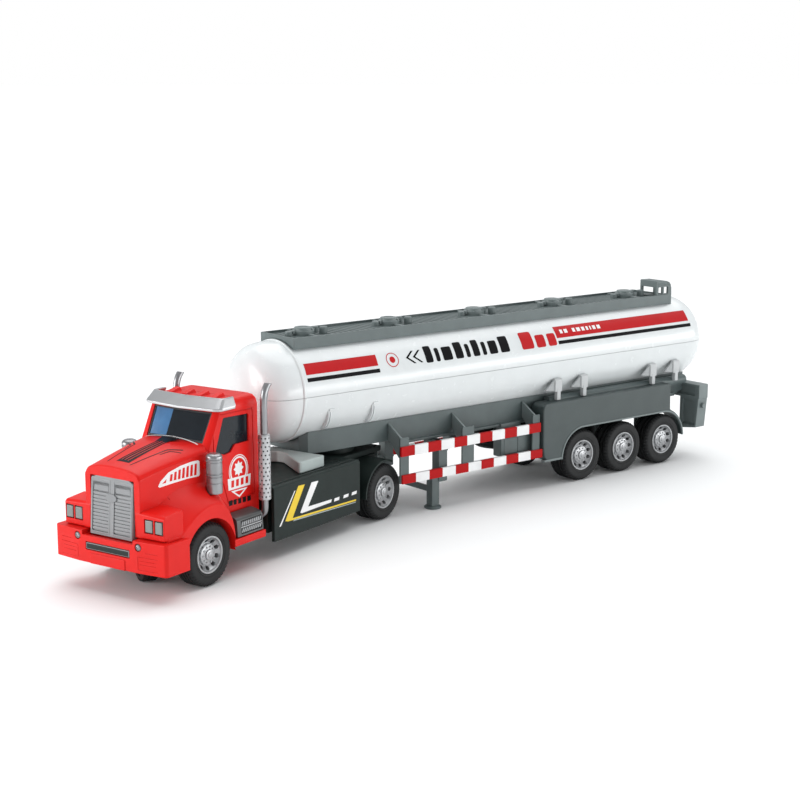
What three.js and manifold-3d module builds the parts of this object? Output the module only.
// Toy articulated tanker lorry: a long-nosed road tractor and a tank semitrailer.
// Millimetres, +Z up, nose towards -Y, the lorry's left side towards +X.
// The tractor stands turned about the kingpin; the trailer lies along Y.
import * as THREE from 'three';
import { mergeVertices } from 'three/addons/utils/BufferGeometryUtils.js';
import Module from 'manifold-3d';

const wasm = await Module();
wasm.setup();

// ---- driving dimensions -------------------------------------------------------------------
const TURN = 17;                 // rest angle of the tractor about the kingpin, degrees
const GAP = 0.3;                 // clearance between neighbouring pieces

const TYRE_R = 14, RIM_R = 8.2;  // road wheels
const SINGLE_W = 9.6, DUAL_W = 12.6;
const WHEEL_X = 27.9;            // outer face of the tractor's road wheels
const AXLE_R = 1.5;
const FRONT_Y = -125.3, REAR_Y = 6.3;
const TRAILER_WHEEL_X = 28.3;
const TRAILER_AXLES = [148, 180, 212];

const CAB_W = 20, CAB_BACK = -81.5, ROOF_Z = 77.5;
const BUMPER_Y = -159, BUMPER_W = 32;
const STACK = [25.7, -85.2], STACK_R = 2.8;
const CLEANER = [24.6, -118], CLEANER_R = 3.6;
const SKIRT_X = 27, SKIRT_Y = [-80.4, -14], SKIRT_Z = [8.8, 34.3];
const CASTER = [0, -135], CASTER_R = 8.5, CASTER_W = 7.6, CASTER_TRAIL = 1.5, CASTER_TURN = 60;

const TANK_R = 24.6, TANK_Z = 67, TANK_Y = [-33, 234], DOME = [21, 22], TANK_WALL = 1.6;
const WALK_W = 14, WALK_Y = [-32.4, 229], WALK_Z = [88.4, 94];
const HATCHES = [-17, 36, 93, 150, 207];
const SADDLES = [-18.5, 8, 132, 151.5, 206, 225];
const FRAME_W = 16.5, FRAME_Y = [-30, 240.4], FRAME_Z = 35;
const GUARD_X = [26.2, 27.8], GUARD_POSTS = [[21.9, 27.5], [62.5, 70.5], [111.5, 116.8]];
const LEG = [22, 47];
const FENDER_X = [19, 28.9], FENDER_TOP = 45.6;

// ---- shape helpers ------------------------------------------------------------------------
const rad = THREE.MathUtils.degToRad;

function solid(geometry) {
  const g = geometry.index ? geometry.toNonIndexed() : geometry;
  g.deleteAttribute('normal');
  g.deleteAttribute('uv');
  const merged = mergeVertices(g, 1e-3);
  const p = merged.attributes.position.array;
  const t = [];
  let volume = 0;
  for (let i = 0; i < merged.index.count; i += 3) {
    const [a, b, c] = [0, 1, 2].map((k) => merged.index.getX(i + k));
    if (a === b || b === c || a === c) continue;
    t.push(a, b, c);
    const [ax, ay, az, bx, by, bz, cx, cy, cz] =
      [a, b, c].flatMap((k) => [p[3 * k], p[3 * k + 1], p[3 * k + 2]]);
    volume += ax * (by * cz - bz * cy) - ay * (bx * cz - bz * cx) + az * (bx * cy - by * cx);
  }
  if (volume < 0) for (let i = 0; i < t.length; i += 3) [t[i], t[i + 1]] = [t[i + 1], t[i]];
  return new wasm.Manifold(new wasm.Mesh({
    numProp: 3, vertProperties: new Float32Array(p), triVerts: new Uint32Array(t),
  }));
}

function geometryOf(manifold) {
  const mesh = manifold.getMesh();
  const g = new THREE.BufferGeometry();
  g.setAttribute('position', new THREE.BufferAttribute(new Float32Array(mesh.vertProperties), 3));
  g.setIndex(new THREE.BufferAttribute(new Uint32Array(mesh.triVerts), 1));
  g.computeVertexNormals();
  return g;
}

const join = (...m) => m.flat().reduce((a, b) => a.add(b));
const cut = (a, ...m) => m.flat().reduce((r, b) => r.subtract(b), a);
const mirrorX = (m) => m.mirror([1, 0, 0]);
const both = (m) => [m, mirrorX(m)];

function box(x0, x1, y0, y1, z0, z1) {
  const g = new THREE.BoxGeometry(x1 - x0, y1 - y0, z1 - z0);
  g.translate((x0 + x1) / 2, (y0 + y1) / 2, (z0 + z1) / 2);
  return solid(g);
}

// A cylinder between two points.
function rod(from, to, r, segments = 16, r2 = r) {
  const a = new THREE.Vector3(...from), b = new THREE.Vector3(...to);
  const g = new THREE.CylinderGeometry(r2, r, a.distanceTo(b), segments);
  const q = new THREE.Quaternion().setFromUnitVectors(
    new THREE.Vector3(0, 1, 0), b.clone().sub(a).normalize());
  g.applyQuaternion(q);
  g.translate((a.x + b.x) / 2, (a.y + b.y) / 2, (a.z + b.z) / 2);
  return solid(g);
}

// A polygon extruded along X, Y or Z; its points are in the other two axes, in order.
function prism(axis, points, from, to) {
  const g = new THREE.ExtrudeGeometry(
    new THREE.Shape(points.map((p) => new THREE.Vector2(...p))),
    { depth: to - from, bevelEnabled: false });
  g.translate(0, 0, from);
  const m = new THREE.Matrix4();
  if (axis === 'x') m.set(0, 0, 1, 0, 1, 0, 0, 0, 0, 1, 0, 0, 0, 0, 0, 1);
  if (axis === 'y') m.set(1, 0, 0, 0, 0, 0, 1, 0, 0, 1, 0, 0, 0, 0, 0, 1);
  g.applyMatrix4(m);
  return solid(g);
}

// A closed skin through rings of equal length, with flat ends.
function loft(rings) {
  const n = rings[0].length, v = [];
  const put = (...p) => p.forEach((q) => v.push(...q));
  for (let i = 0; i + 1 < rings.length; i++) {
    for (let k = 0; k < n; k++) {
      const [a, b, c, d] = [rings[i][k], rings[i][(k + 1) % n],
        rings[i + 1][(k + 1) % n], rings[i + 1][k]];
      put(a, b, c, a, c, d);
    }
  }
  for (const [ring, flip] of [[rings[0], true], [rings.at(-1), false]]) {
    const mid = [0, 1, 2].map((j) => ring.reduce((s, q) => s + q[j], 0) / n);
    for (let k = 0; k < n; k++) {
      const [a, b] = flip ? [ring[(k + 1) % n], ring[k]] : [ring[k], ring[(k + 1) % n]];
      put(mid, a, b);
    }
  }
  const g = new THREE.BufferGeometry();
  g.setAttribute('position', new THREE.BufferAttribute(new Float32Array(v), 3));
  return solid(g);
}

// A profile of [radius, distance] turned about the line x, y, z that runs along an axis.
function turned(axis, profile, at, segments = 24, sign = 1) {
  const g = new THREE.LatheGeometry(
    [...profile, profile[0]].map((p) => new THREE.Vector2(...p)), segments);
  const m = new THREE.Matrix4();
  if (axis === 'x') m.makeRotationZ(-Math.PI / 2);
  if (axis === 'z') m.makeRotationX(Math.PI / 2);
  if (axis === 'y') m.identity();
  g.applyMatrix4(m);
  if (sign < 0) g.scale(-1, 1, 1);
  g.translate(...at);
  return solid(g);
}

// A round bar along a smooth path.
function tube(points, r, steps = 12, segments = 10) {
  const path = new THREE.CatmullRomCurve3(points.map((p) => new THREE.Vector3(...p)),
    false, 'catmullrom', 0.4);
  const shape = new THREE.Shape(Array.from({ length: segments }, (_, i) => new THREE.Vector2(
    r * Math.cos(2 * Math.PI * i / segments), r * Math.sin(2 * Math.PI * i / segments))));
  return solid(new THREE.ExtrudeGeometry(shape,
    { steps, extrudePath: path, bevelEnabled: false }));
}

const arc = (cx, cy, r, from, to, n) => Array.from({ length: n + 1 }, (_, i) => {
  const a = rad(from + (to - from) * i / n);
  return [cx + r * Math.cos(a), cy + r * Math.sin(a)];
});

// ---- materials ----------------------------------------------------------------------------
const plastic = (color, roughness = 0.45, metalness = 0) =>
  new THREE.MeshStandardMaterial({ color, roughness, metalness });
const RED = plastic(0xd21f17, 0.32), WHITE = plastic(0xeceeee, 0.25), GREY = plastic(0x566160, 0.45);
const DARK = plastic(0x2b3331, 0.5), PALE = plastic(0x9aa5a2, 0.45), SILVER = plastic(0x9da2a5, 0.3, 0.8);
const GRILLE = plastic(0x8d9092, 0.4), RUBBER = plastic(0x26282a, 0.85), GLASS = plastic(0x1e252b, 0.12);
const STEEL = plastic(0xb4b8ba, 0.3, 1), LENS = plastic(0x8fa09c, 0.3), WALK = plastic(0x66716f, 0.45);
const CREAM = plastic(0xe6e2d2, 0.5);

const tractor = new THREE.Group();
const trailer = new THREE.Group();
function add(group, name, shape, material) {
  const mesh = new THREE.Mesh(geometryOf(shape), material);
  mesh.name = name;
  group.add(mesh);
}

// ---- cab and hood -------------------------------------------------------------------------
// Hood sections across the lorry: half width, shoulder height and crown height along Y.
function hood(inset, y0, y1) {
  const stations = [[-155, 15.5, 51.6, 54.7], [-151, 15.9, 52.6, 55.9], [-140, 16.9, 54.3, 58],
    [-127, 18.3, 55.9, 60], [-112, 19.8, 57.6, 61.6]];
  const rings = stations.filter((s) => s[0] >= y0 && s[0] <= y1).map(([y, w, s, c]) => {
    const half = [[w, 20], [w, s - 1.5], [w - 1.1, s + 1.1], [w - 4, s + (c - s) * 0.62],
      [w * 0.42, c - 0.4]];
    const all = [...half, [0, c], ...half.toReversed().map(([x, z]) => [-x, z])];
    return all.map(([x, z]) => [x * (1 - inset / w), y, Math.max(z - (z > 20 ? inset : 0), 20)]);
  });
  return loft(rings);
}

// Cab sections one above another: half width, front and back.
function cabBody(inset, z0, z1) {
  const levels = [[16, 20, -113, CAB_BACK], [30, CAB_W, -113.5, CAB_BACK], [57.5, CAB_W, -116.8, CAB_BACK],
    [72.5, CAB_W, -109.3, CAB_BACK + 0.3], [75.6, CAB_W - 0.6, -107.8, CAB_BACK + 0.8],
    [ROOF_Z, CAB_W - 2.6, -105, CAB_BACK + 2.4]];
  const at = (z) => {
    const k = Math.max(1, levels.findIndex((l) => l[0] >= z));
    const [a, b] = [levels[k - 1], levels[k]];
    return a.map((v, i) => v + (b[i] - v) * (z - a[0]) / (b[0] - a[0]));
  };
  const heights = [z0, ...levels.map((l) => l[0]).filter((z) => z > z0 && z < z1), z1];
  return loft(heights.map((z) => {
    const [, w, f, b] = at(z);
    const [W, F, B, c] = [w - inset, f + inset, b - inset, 1.8];
    const left = [[W, B - c], [W - c * 0.3, B - c * 0.3], [W - c, B]];
    const right = [[-W + c, B], [-W + c * 0.3, B - c * 0.3], [-W, B - c]];
    const front = [[-W, F + 2.6], [-W + 1, F + 0.9], [-W + 3, F], [0, F - 0.9 + inset * 0.4],
      [W - 3, F], [W - 1, F + 0.9], [W, F + 2.6]];
    return [...left, ...right, ...front].map(([x, y]) => [x, y, z]);
  }));
}

// A flared wheel arch between the hood side and its outer edge.
function fender() {
  const outer = [[-153, 12.6], [-153, 26.2], [-145, 26.8], [-139, 30.4], [-132, 33.8], [-124, 35.6],
    [-117.5, 34.2], [-113, 29.4], [-110.4, 22.5], [-109.6, 12.6]];
  const shoulder = [[-153, 12.6], [-153, 27.4], [-147, 30.5], [-140.5, 36.4], [-132.5, 40.2], [-123, 41.4],
    [-115.5, 39.6], [-111.2, 33.4], [-109, 24], [-108.6, 12.6]];
  const inner = [[-152, 12.6], [-152, 32], [-147.5, 37.5], [-141, 43], [-132.5, 46.2], [-122, 47.2],
    [-114, 45], [-109.5, 36], [-108, 25], [-107.6, 12.6]];
  const edge = outer.map(([y, z]) => [y, z - (z > 20 ? 1 : 0)]);
  return loft([[14, inner], [22.5, shoulder], [27.6, outer], [29, edge]]
    .map(([x, ring]) => ring.map(([y, z]) => [x, y, z])));
}

const windscreenHole = loft([
  [[-16.2, -125, 59.6], [16.2, -125, 60.4], [16.7, -118, 72.6], [-16.7, -118, 72.6]],
  [[-16.2, -100, 59.6], [16.2, -100, 60.4], [16.7, -100, 72.6], [-16.7, -100, 72.6]],
]);
const sideHole = prism('x', [[-106.2, 69.8], [-89, 69], [-89, 56.6], [-98.6, 56.6], [-101.4, 53.6],
  [-105.6, 53.2], [-111.6, 55.6]], -30, 30);
const arches = both(join(rod([13.2, FRONT_Y - 0.4, 14], [32, FRONT_Y - 0.4, 14], 16, 24),
  box(13.2, 32, FRONT_Y - 16.4, FRONT_Y + 15.6, 5, 14)));
const housing = both(cut(
  loft([[13, 1], [28.7, 0]].map(([x, d]) => [[-155.2, 26.6], [-155.2, 36 + d], [-153.6, 37.2 + d],
    [-143, 38 + d], [-143, 26.6]].map(([y, z]) => [x, y + (1 - d) * 0.5, z]))),
  box(17.7, 22.6, -158, -153.6, 29, 35.1), box(23.2, 27.9, -158, -153.6, 29, 35.1),
  box(17.7, 27.9, -154.3, -153.3, 29, 35.1)));
const hollow = join(
  cabBody(2, 14, 75), box(-17.6, 17.6, -114, CAB_BACK - 2, 8, 20),
  hood(1.8, -151, -112), box(-14, 14, -152.5, -110, 8, 30), box(-13.4, 13.4, -152, -78, 8, 24.4),
  box(-33, 33, -170, -153, 0, 26.5));
const cabShell = cut(
  join(hood(0, -155, -112), cabBody(0, 17, ROOF_Z), both(fender()), housing,
    both(box(17, 28.4, -110.6, -88.2, 13.7, 17)),
    both(box(18, 20.7, -119, -117, 49.6, 52.4)),
    both(box(13.5, 17, -155, -108, 17, 30)),
    [-12.6, -4.2, 4.2, 12.6].map((x) => loft([-1, 1].map((s) => [[-104.8, 77], [-104.4, 77.9],
      [-98.4, 79.2], [-97.4, 77]].map(([y, z]) => [x + s * (z > 77.5 ? 1.5 : 2.1), y, z]))))),
  hollow, arches, windscreenHole, sideHole,
  both(rod([...CLEANER, 38.9], [...CLEANER, 60], CLEANER_R + GAP, 16)),
  box(-12.5, 12.5, -160, -153.2, 17, 50.2));
add(tractor, 'cab_shell', cabShell, RED);

add(tractor, 'cab_glazing', join(
  cut(cabBody(2 + GAP, 52, 74.4), cabBody(3.6, 51, 75), box(-25, 25, -86, -70, 40, 80),
    box(-25, 25, -120, -100, 40, 58.5).intersect(box(-17.6, 17.6, -120, -100, 40, 58.5))),
  cut(windscreenHole.intersect(cabBody(0.7, 57, 74)), cabBody(3, 50, 75),
    box(-25, 25, -130, -100, 50, 60), box(15.9, 30, -130, -90, 50, 80), box(-30, -15.9, -130, -90, 50, 80),
    box(-25, 25, -130, -90, 72.2, 80))), GLASS);

const slots = Array.from({ length: 14 }, (_, i) => 27 + i * 1.5);
const grille = cut(
  join(
    prism('x', [[-156.6, 24.8], [-154.9, 49.4], [-153.5, 49.4], [-153.5, 24.8]], -12.1, 12.1),
    prism('x', [[-154.95, 49], [-154.9, 49.9], [-153.5, 49.9], [-153.5, 49]], -9.8, 9.8)),
  slots.flatMap((z) => both(box(1.4, 10.9, -159, -155.65 + (z - 27) * 0.07, z, z + 0.75))));
add(tractor, 'grille', join(grille, box(-12.1, 12.1, -156.8, -153.5, 18.3, 26),
  box(-12.6, 12.6, -159.2, -156, 18.3, 21.5)), GRILLE);

const bumperPlan = [[-BUMPER_W, -143], [-BUMPER_W, -156.4], [-31, -157.6], [-17, BUMPER_Y], [17, BUMPER_Y],
  [31, -157.6], [BUMPER_W, -156.4], [BUMPER_W, -143], [29.4, -143], [29.4, -153.3], [13.2, -153.3],
  [13.2, -157.2], [-13.2, -157.2], [-13.2, -153.3], [-29.4, -153.3], [-29.4, -143]];
add(tractor, 'bumper', cut(
  join(prism('z', bumperPlan, 12.4, 26.2), prism('z', [[-10, -159.4], [10, -159.4], [10, -154], [-10, -154]],
    12.4, 17)),
  box(-14.6, 14.6, -164, -140, 24.4, 30), box(-12.9, 12.9, -164, -150, 18, 21.8),
  both(rod([17.4, -161, 23.6], [17.4, -157.9, 23.6], 1.6, 12)), both(box(10, 33, -170, -159.4, 0, 40))), RED);
for (const [side, s] of [['left', 1], ['right', -1]]) {
  add(tractor, `bumper_screw_${side}`, cut(
    rod([s * 17.4, -159.3, 23.6], [s * 17.4, -158.2, 23.6], 1.3, 12),
    box(s * 17.4 - 0.9, s * 17.4 + 0.9, -160, -158.9, 23.4, 23.8),
    box(s * 17.4 - 0.2, s * 17.4 + 0.2, -160, -158.9, 22.7, 24.5)), STEEL);
  const lens = join(box(18, 22.3, -155.1, -153.7, 29.3, 34.8), box(23.5, 27.6, -155.1, -153.7, 29.3, 34.8),
    box(18, 27.6, -154, -153.6, 29.3, 34.8));
  add(tractor, `headlamp_${side}`, s > 0 ? lens : mirrorX(lens), LENS);
}

const visorBottom = [[-21.9, -100], [-21.9, -108.6], [-19, -111.4], [0, -113.4], [19, -111.4], [21.9, -108.6],
  [21.9, -100]];
const visorTop = [[-20.9, -100], [-20.7, -105.6], [-17.8, -107.2], [0, -108.8], [17.8, -107.2],
  [20.7, -105.6], [20.9, -100]];
const visorSkin = (t) => loft([[visorBottom, 73.2 - t], [visorTop, 78.3 - t]].map(([plan, z]) => [
  ...plan.map(([x, y]) => [x * (1 - t / 22), y + (Math.abs(x) < 19.5 ? t : 0), z]), [0, -100 + 0.01, z]]));
add(tractor, 'sun_visor', cut(visorSkin(0), cabBody(-GAP, 50, ROOF_Z),
  cabBody(0, 60, ROOF_Z).translate(0, 0, GAP),
  loft([[visorBottom, 70], [visorTop, 76.4]].map(([plan, z]) => [
    ...plan.map(([x, y]) => [x * 0.93, y + 1.6, z]), [0, -96, z]])),
  box(-30, 30, -104.6, -90, 77, 82)), SILVER);

// ---- cab side fittings --------------------------------------------------------------------
const sided = (s) => (m) => (s > 0 ? m : mirrorX(m));
for (const [side, s] of [['left', 1], ['right', -1]]) {
  const put = sided(s);
  const [cx, cy] = CLEANER, [px, py] = STACK;
  const can = [[0, 0], [3, 0], [3.45, 0.8], [3.45, 7.6], [CLEANER_R, 8], [CLEANER_R, 8.8], [3.45, 9.2],
    [3.45, 14.2], [CLEANER_R, 14.6], [CLEANER_R, 16.4], [3.3, 17.2], [2.4, 17.8], [0, 17.8]];
  add(tractor, `air_cleaner_${side}`, put(join(
    turned('z', can, [cx, cy, 39.2], 12), box(cx - 3, cx - 1, cy - 1, cy + 1, 44, 46))), SILVER);
  add(tractor, `exhaust_${side}`, put(join(
    turned('z', [[0, 0], [2.2, 0], [STACK_R, 0.6], [STACK_R, 29.4], [2.2, 30], [0, 30]],
      [px, py, 29.6], 12),
    tube([[px, py, 58], [px, py, 70], [px, py, 76], [px, py + 1.2, 80], [px, py + 4.6, 83.4]], 1.6, 10, 8),
    tube([[px, py, 31], [px, py, 27], [px - 0.6, py + 0.2, 24], [px - 2.6, py + 0.4, 22.2],
      [px - 4.4, py + 0.4, 21.8]], 1.5, 6, 8))), SILVER);
  add(tractor, `step_${side}`, put(prism('y', [[21, 17.4], [28.2, 17.4], [27.6, 24.6], [26.4, 26], [21, 27]],
    -107.2, -89.4)), SILVER);
}

// ---- chassis, bed and drive ---------------------------------------------------------------
const [motorY, motorZ] = [REAR_Y - 9.2, 20.6];
const gearbox = cut(
  box(-13.6, 14.9, -12, REAR_Y + 10, 9.6, 30.4),
  box(-12.4, 13.7, -10.8, REAR_Y + 8.8, 0, 29),
  rod([-20, REAR_Y, 14], [20, REAR_Y, 14], AXLE_R + GAP, 16),
  rod([0, 0, 26], [0, 0, 34], 2.7, 16));
const guards = both(prism('x', [...arc(REAR_Y, 14, 16.4, 65, 182, 9), ...arc(REAR_Y, 14, 15.2, 182, 65, 9)],
  12, 27.6));
const chassis = cut(
  join(box(-13, 13, -150, -78, 20, 24), both(join(box(9.4, 13, FRONT_Y - 3.2, FRONT_Y + 3.2, 10.8, 21),
    rod([10, FRONT_Y, 14], [25.8, FRONT_Y, 14], AXLE_R, 12))),
    box(-13, 13, -112, -78, 12, 21),
    cut(box(-22.6, 22.6, -79.6, -15, 12, 31.6), box(-21.2, 21.2, -78.2, -16.4, 0, 30.2)),
    box(-12, 12, -17, -11, 12, 30.4), gearbox, guards, box(-13, 13, REAR_Y + 9, 21, 25, 30.4),
    both(box(12, 24, -16, -11.6, 12, 26)), both(box(21, 25.4, -16, -14.6, 12, 22))),
  rod([0, CASTER[1], 15], [0, CASTER[1], 30], 2 + GAP, 20), box(-11.6, 11.6, -110, -80, 5, 22.4));
add(tractor, 'tractor_chassis', chassis, DARK);

const [sy0, sy1] = SKIRT_Y, [sz0, sz1] = SKIRT_Z;
add(tractor, 'bed_cover', cut(
  join(prism('y', [[-SKIRT_X, sz0], [-SKIRT_X, sz1 - 1], [-SKIRT_X + 1, sz1], [SKIRT_X - 1, sz1],
    [SKIRT_X, sz1 - 1], [SKIRT_X, sz0]], sy0, sy1), box(-15, 15, sy1 - 0.5, 21, 30.7, sz1 - 0.8),
  rod([0, 0, 31], [0, 0, 36.2], 11, 20)),
  box(-SKIRT_X + 1.6, SKIRT_X - 1.6, sy0 - 1, sy1 + 1, 0, 31.9),
  rod([0, 0, 20], [0, 0, 40], 2.7, 20)), DARK);
add(tractor, 'battery_door', cut(box(-19.6, 19.6, -76.6, -18, 12.2, 13.6),
  box(-4, 4, -20.4, -17, 11, 15)), DARK);
add(tractor, 'deck_plate', prism('z', [[-22, -35.8], [-22, -53.6], [-21, -54.6], [-2, -41.6], [2, -41.6],
  [21, -54.6], [22, -53.6], [22, -35.8]], sz1 + GAP, 40.1), PALE);

add(tractor, 'drive_motor', cut(join(rod([-10.6, motorY, motorZ], [10, motorY, motorZ], 7.2, 24),
  rod([-12, motorY, motorZ], [13.2, motorY, motorZ], 0.8, 12))), STEEL);
const gear = (teeth, root, tip, x0, x1, y, z, bore) => cut(prism('x',
  Array.from({ length: teeth * 4 }, (_, i) => {
    const r = i % 4 < 2 ? tip : root, a = 2 * Math.PI * (i + (i % 2 ? -0.15 : 0.15)) / (teeth * 4);
    return [y + r * Math.cos(a), z + r * Math.sin(a)];
  }), x0, x1), rod([x0 - 1, y, z], [x1 + 1, y, z], bore, 12));
add(tractor, 'motor_pinion', gear(8, 1.8, 2.5, 10.6, 13, motorY, motorZ, 0.8 + GAP), CREAM);
add(tractor, 'axle_gear', gear(18, 7.2, 8.3, 10.4, 13.2, REAR_Y, 14, AXLE_R + GAP), CREAM);

// ---- wheels -------------------------------------------------------------------------------
function wheel(group, name, x, y, width, sign) {
  const w = width, grooves = w > 11
    ? [[TYRE_R, -w / 2 + 0.9], [12.2, -w / 2 + 0.5], [12.2, -w / 2 - 0.5], [TYRE_R, -w / 2 - 0.9]] : [];
  const tyre = [[RIM_R + GAP, -0.4], [12.5, 0], [TYRE_R, -1.3], ...grooves,
    [TYRE_R, -w + 1.3], [12.5, -w], [RIM_R + GAP, -w]];
  add(group, `${name}_tyre`, turned('x', tyre, [sign * x, y, 14], 22, sign), RUBBER);
  const bore = AXLE_R + GAP;
  const rim = [[0, -0.3], [2.4, -0.3], [2.4, -1.4], [6.8, -3], [7.2, -0.6], [RIM_R, -0.4],
    [RIM_R, -w + 0.6], [7.2, -w + 0.6], [7.2, -4.6], [bore, -4.2], [bore, -1.8], [0, -1.8]];
  const holes = Array.from({ length: 10 }, (_, i) => {
    const a = rad(36 * i + 18), [c, d] = [Math.cos(a), Math.sin(a)];
    return prism('x', [[4.8, 0], [5.6, -0.85], [6.4, 0], [5.6, 0.85]]
      .map(([r, v]) => [y + r * c - v * d, 14 + r * d + v * c]), sign > 0 ? x - 6 : -x, sign > 0 ? x : 6 - x);
  });
  add(group, `${name}_rim`, cut(turned('x', rim, [sign * x, y, 14], 16, sign), holes), SILVER);
}
for (const [side, s] of [['left', 1], ['right', -1]]) {
  wheel(tractor, `front_${side}`, WHEEL_X, FRONT_Y, SINGLE_W, s);
  wheel(tractor, `rear_${side}`, WHEEL_X - 0.2, REAR_Y, DUAL_W, s);
  TRAILER_AXLES.forEach((y, i) => wheel(trailer, `trailer${i + 1}_${side}`, TRAILER_WHEEL_X, y, DUAL_W, s));
}
add(tractor, 'rear_axle', rod([-25.8, REAR_Y, 14], [25.8, REAR_Y, 14], AXLE_R, 12), STEEL);
TRAILER_AXLES.forEach((y, i) =>
  add(trailer, `trailer_axle_${i + 1}`, rod([-26.3, y, 14], [26.3, y, 14], AXLE_R, 12), STEEL));

// Swivelling guide wheel under the nose.
const caster = new THREE.Group();
caster.position.set(CASTER[0], CASTER[1], 0);
caster.rotation.z = rad(CASTER_TURN);
tractor.add(caster);
const arm = (s) => cut(prism('x', [[CASTER_TRAIL - 2.4, 6], [CASTER_TRAIL + 2.4, 6],
  [CASTER_TRAIL + 3.4, 17.4],
  [CASTER_TRAIL + 3.4, 19.4], [-5, 19.4], [-5, 17.4]], s > 0 ? 4.4 : -5.6, s > 0 ? 5.6 : -4.4),
rod([-8, CASTER_TRAIL, CASTER_R], [8, CASTER_TRAIL, CASTER_R], 1.2 + GAP, 12));
add(caster, 'caster_fork', join(arm(1), arm(-1), box(-5.6, 5.6, -5, CASTER_TRAIL + 3.4, 17.6, 19.4),
  rod([0, 0, 18], [0, 0, 25.6], 2, 20), rod([0, 0, 24.6], [0, 0, 26.2], 3.4, 20)), DARK);
const cw = CASTER_W / 2;
add(caster, 'caster_wheel', turned('x', [[0, -5.4], [1.2, -5.4], [1.2, -cw + 0.4], [5.6, -cw + 0.8], [6, -cw],
  [7.7, -cw], [CASTER_R, -cw + 0.8], [CASTER_R, cw - 0.8], [7.7, cw], [6, cw], [5.6, cw - 0.8],
  [1.2, cw - 0.4],
  [1.2, 5.4], [0, 5.4]], [0, CASTER_TRAIL, CASTER_R], 20), RUBBER);

// ---- tank ---------------------------------------------------------------------------------
// Half profile of the tank: domed ends and a raised bead round the front.
function tankProfile(inset) {
  const end = (y, d, p, dir) => [1, 0.985, 0.93, 0.82, 0.62, 0.36, 0].map((t) =>
    [(TANK_R - inset) * (1 - t ** p) ** (1 / p), y + dir * (d - inset) * t]);
  const bead = inset ? [] : [[TANK_R, TANK_Y[0] - 1.6], [TANK_R + 0.6, TANK_Y[0] - 1.2],
    [TANK_R + 0.6, TANK_Y[0] + 0.2], [TANK_R, TANK_Y[0] + 0.5]];
  return [...end(TANK_Y[0] - 1.6, DOME[0] - 1.6, 3, -1).slice(0, inset ? 7 : 6), ...bead,
    ...end(TANK_Y[1], DOME[1], 2.6, 1).toReversed()];
}
const tankOuter = turned('y', tankProfile(0), [0, 0, TANK_Z], 28);
const tankInner = turned('y', tankProfile(TANK_WALL), [0, 0, TANK_Z], 20);
const tank = tankOuter.subtract(tankInner);
const keep = (r) => rod([0, -60, TANK_Z], [0, 260, TANK_Z], r / Math.cos(Math.PI / 28), 28);
const upperZone = box(-40, 40, -70, 270, TANK_Z + GAP / 2, 120);
const lowerZone = box(-40, 40, -70, 270, 20, TANK_Z - GAP / 2);
add(trailer, 'tank_upper_shell', tank.intersect(upperZone), WHITE);

// Cross ribs under the tank; the rear four pairs stand on the rear wings with small feet.
const saddle = (y) => {
  const foot = y > 100;
  const rib = foot
    ? prism('y', [[16.4, 50], [21.8, 48.6], [22.8, 48.6], [22.8, FENDER_TOP + GAP], [25.6, FENDER_TOP + GAP],
      [25.6, 52], [25, 60.5], [22, 59], [18, 54], [16, 51]], y - 0.7, y + 0.7)
    : prism('y', [...arc(0, TANK_Z, TANK_R + 1.9, -46, -22, 4), ...arc(0, TANK_Z, TANK_R - 0.8, -18, -48, 4)],
      y - 0.9, y + 0.9);
  const pad = foot ? [box(23, 25.4, y - 1.3, y + 1.3, FENDER_TOP + GAP, 54),
    box(22.4, 25.2, y - 2.6, y + 2.6, 50.2, 57.6),
    prism('x', [[y - 8, 51.6], [y - 2, 50.8], [y - 2, 57.4]], 23.6, 24.6)] : [];
  return join(rib, pad);
};
add(trailer, 'tank_lower_shell', join(tank.intersect(lowerZone),
  cut(join(SADDLES.flatMap((y) => both(saddle(y)))), tankInner)), WHITE);

// ---- walkway on the tank ------------------------------------------------------------------
const [wy0, wy1] = WALK_Y, [wz0, wz1] = WALK_Z;
const hatch = (y) => join(
  rod([0, y, 92], [0, y, 95.6], 5.4, 12), rod([0, y, 95], [0, y, 96.8], 4.2, 12),
  box(-1.2, 1.2, y - 6.6, y + 6.6, 92, 95.4), rod([-3.6, y + 9.5, 92], [-3.6, y + 9.5, 95.6], 1.8, 6),
  rod([3.6, y + 9.5, 92], [3.6, y + 9.5, 96.4], 2, 6), rod([0, y - 8.6, 92], [0, y - 8.6, 95.2], 1.8, 6),
  box(-12.9, 12.9, y - 0.8, y + 0.8, 92, 93.8));
// A small box frame over the tray's rear corner, rounded down over the end as a ladder hoop.
const hoop = [[219.4, 92], [219.4, 102], [228.4, 101.6], [230.9, 100.4], [232.2, 97.6], [232.2, 86.8],
  [229.6, 86.8], [229.6, 92]];
const cage = cut(prism('x', hoop, 0.6, 13.2),
  prism('x', [[221, 94], [221, 98.4], [229.6, 98.4], [230.4, 97], [230.4, 94]], -1, 11.8),
  box(2, 11.8, 218, 222, 94, 98.4), box(1.8, 11.8, 229, 234, 86, 98.4),
  box(11, 14, 221.4, 224.6, 94.6, 98), box(11, 14, 226, 229.2, 94.6, 98));
add(trailer, 'walkway', cut(
  join(cut(box(-WALK_W, WALK_W, wy0, wy1, wz0, wz1), box(-WALK_W + 1.1, WALK_W - 1.1, wy0 + 1.1, wy1 - 1.1,
    92.8, 100)), HATCHES.map(hatch), cage), keep(TANK_R + GAP),
  turned('y', [[0, TANK_Y[0] - 2], [TANK_R + 0.9, TANK_Y[0] - 2], [TANK_R + 0.9, TANK_Y[0] + 0.8],
    [0, TANK_Y[0] + 0.8]], [0, 0, TANK_Z], 36)), WALK);

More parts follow.
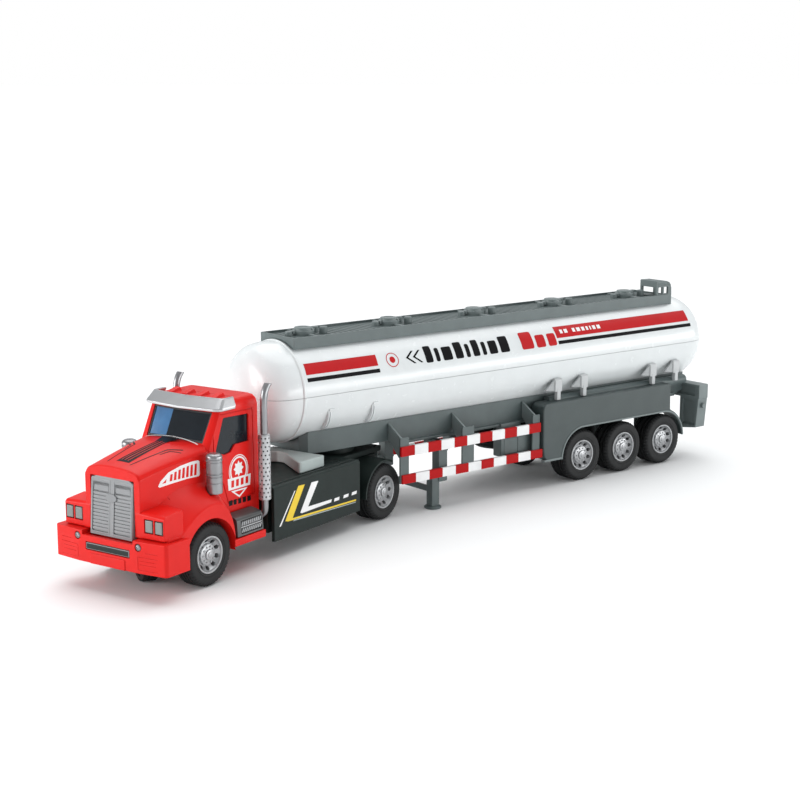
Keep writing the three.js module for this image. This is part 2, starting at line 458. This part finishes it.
// ---- trailer frame ------------------------------------------------------------------------
const side = [[FRAME_Y[0], 49], [FRAME_Y[1], 49], [FRAME_Y[1], 38], [232, FRAME_Z], [30, FRAME_Z], [24, 37.2],
  [-17, 37.2], [FRAME_Y[0] + 4, 40], [FRAME_Y[0], 40.4]];
const tray = cut(prism('x', side, -FRAME_W, FRAME_W),
  both(prism('z', [[FRAME_W - 3, FRAME_Y[0] - 1], [FRAME_W + 1, FRAME_Y[0] - 1],
    [FRAME_W + 1, FRAME_Y[0] + 4.6], [FRAME_W - 3, FRAME_Y[0] - 0.2]], 30, 60)),
  box(-FRAME_W + 1.8, FRAME_W - 1.8, 14, FRAME_Y[1] - 1.8, 30, 45), keep(TANK_R + GAP),
  box(-FRAME_W + 3.6, FRAME_W - 3.6, FRAME_Y[0] + 1.8, -14, 30, 45));
const locker = box(17.5, 23.8, 92, 117.2, 20, 31);
const hanger = prism('y', [[14.5, 35.6], [14.5, 36.6], [19, 36.6], [20.5, 31], [20.5, 29], [17.6, 29]],
  96, 110);
const carrier = TRAILER_AXLES.map((y) => both(cut(join(box(9, 13.4, y - 4, y + 4, 10, 38)),
  rod([5, y, 14], [15, y, 14], AXLE_R + GAP, 16))));
add(trailer, 'trailer_frame', join(
  tray, both(prism('z', [[FRAME_W - 1, 28], [FRAME_W + 1.8, 30], [FRAME_W + 1.8, 117], [FRAME_W - 1, 118]],
    FRAME_Z, FRAME_Z + 1.4)), both(join(locker, hanger)), carrier.flat(),
  rod([0, 0, 30.8], [0, 0, 40], 2.3, 20), rod([0, 0, 36.6], [0, 0, 38], 11, 20),
  both(prism('x', [[126, 35.2], [126, 37], [232, 37], [232, 35.2]], 12, FRAME_W + 1.6)),
  box(-FRAME_W + 1, FRAME_W - 1, 106, 116, 38.5, 41.6)), GREY);
add(trailer, 'spare_wheel', join(turned('z', [[0, 2.5], [7, 2.5], [7.6, 1], [10.8, 0], [12.4, 0.2],
  [13.2, 1.6], [13.2, 7.6], [12.4, 9], [10.8, 9.2], [7.6, 8.2], [7, 6.7], [0, 6.7]], [0, 111, 20.2], 24),
rod([0, 111, 24.5], [0, 111, 38.2], 2.3, 12)), RUBBER);

for (const [name, s] of [['left', 1], ['right', -1]]) {
  const put = sided(s);
  const [gx0, gx1] = GUARD_X;
  const upright = ([y0, y1], i) => join(
    box(gx0 - 0.4, gx0 + 0.8, y0, y1, 17, 40.5),
    prism('y', [[FRAME_W + GAP + 0.1, 46.4], [FRAME_W + GAP + 0.1, 38], [gx0 - 1, 30], [gx0 + 0.4, 30],
      [gx0 + 0.8, 40.5]], i === 0 ? y0 : y0 + 1, i === 0 ? y0 + 1.6 : y0 + 2.6));
  add(trailer, `side_guard_${name}`, put(join(GUARD_POSTS.map(upright),
    box(gx0, gx1, 21.9, 116.8, 31, 36), box(gx0, gx1, 22.6, 118.2, 17, 21.6))), WHITE);

  const [first, last] = [TRAILER_AXLES[0], TRAILER_AXLES.at(-1)];
  const wing = [[119.4, FENDER_TOP], [217, FENDER_TOP], [217.4, 30.6], ...arc(last, 14, 17.2, 68, 2, 5),
    ...arc(last, 14, 15.6, 2, 88, 6), ...arc(first, 14, 15.6, 92, 180, 6), [123, 14.1], [118.6, 18],
    [117.9, FENDER_TOP - 2]];
  const [fx0, fx1] = FENDER_X;
  const inner = [[120, 44.2], [215.5, 44.2], [215.9, 31.6], ...arc(first, 14, 17.1, 92, 176, 5),
    [123.8, 15.5], [120, 19]];
  const tubeRun = rod([fx0 + 1.2, 128, 45], [fx0 + 1.2, 236.6, 45], 2.7, 16);
  add(trailer, `rear_wing_${name}`, put(cut(join(
    cut(prism('x', wing, fx0, fx1), prism('x', inner, fx0 - 1, fx1 - 1.5)), tubeRun,
    box(fx0 + 0.4, fx0 + 3, 215, 218, 43, 45.6)),
  TRAILER_AXLES.map((y) => rod([10, y, 14], [24.4, y, 14], 15.2, 20)))), GREY);
}

add(trailer, 'landing_legs', join(both(join(
  box(LEG[0] - 2.8, LEG[0] + 2.8, LEG[1] + 1.6, LEG[1] + 7.4, 13.6, FRAME_Z - GAP),
  box(LEG[0] - 2.3, LEG[0] + 2.3, LEG[1] - 2.4, LEG[1] + 2.6, 1, 19),
  rod([LEG[0], LEG[1], 0], [LEG[0], LEG[1], 1.6], 4.4, 20),
  box(12, LEG[0], LEG[1] + 2, LEG[1] + 7, 32, FRAME_Z - GAP))),
box(-LEG[0], LEG[0], LEG[1] - 0.8, LEG[1] + 0.8, 8, 11)), GREY);

add(trailer, 'rear_panel', cut(join(
  box(-29, 29, 240.8, 248.6, 33.4, 41.8),
  both(prism('y', [[14.5, 14.7], [27, 16.6], [28.6, 33.6], [14.5, 33.6]],
    240.8, 248.6)), both(box(28, 30, 243, 246, 27.6, 31.4))),
both(box(16.6, 26, 230, 242, 17.6, 32.2)), box(-26, 26, 230, 242, 35, 40.4)), GREY);

// ---- assembly -----------------------------------------------------------------------------
tractor.rotation.z = rad(TURN);
const lorry = new THREE.Group();
lorry.name = 'toy_tanker_lorry';
lorry.add(tractor, trailer);
lorry.updateMatrixWorld(true);
const bounds = new THREE.Box3().setFromObject(lorry, true);
lorry.position.set(-(bounds.min.x + bounds.max.x) / 2, -(bounds.min.y + bounds.max.y) / 2, -bounds.min.z);
lorry.updateMatrixWorld(true);

export default lorry;
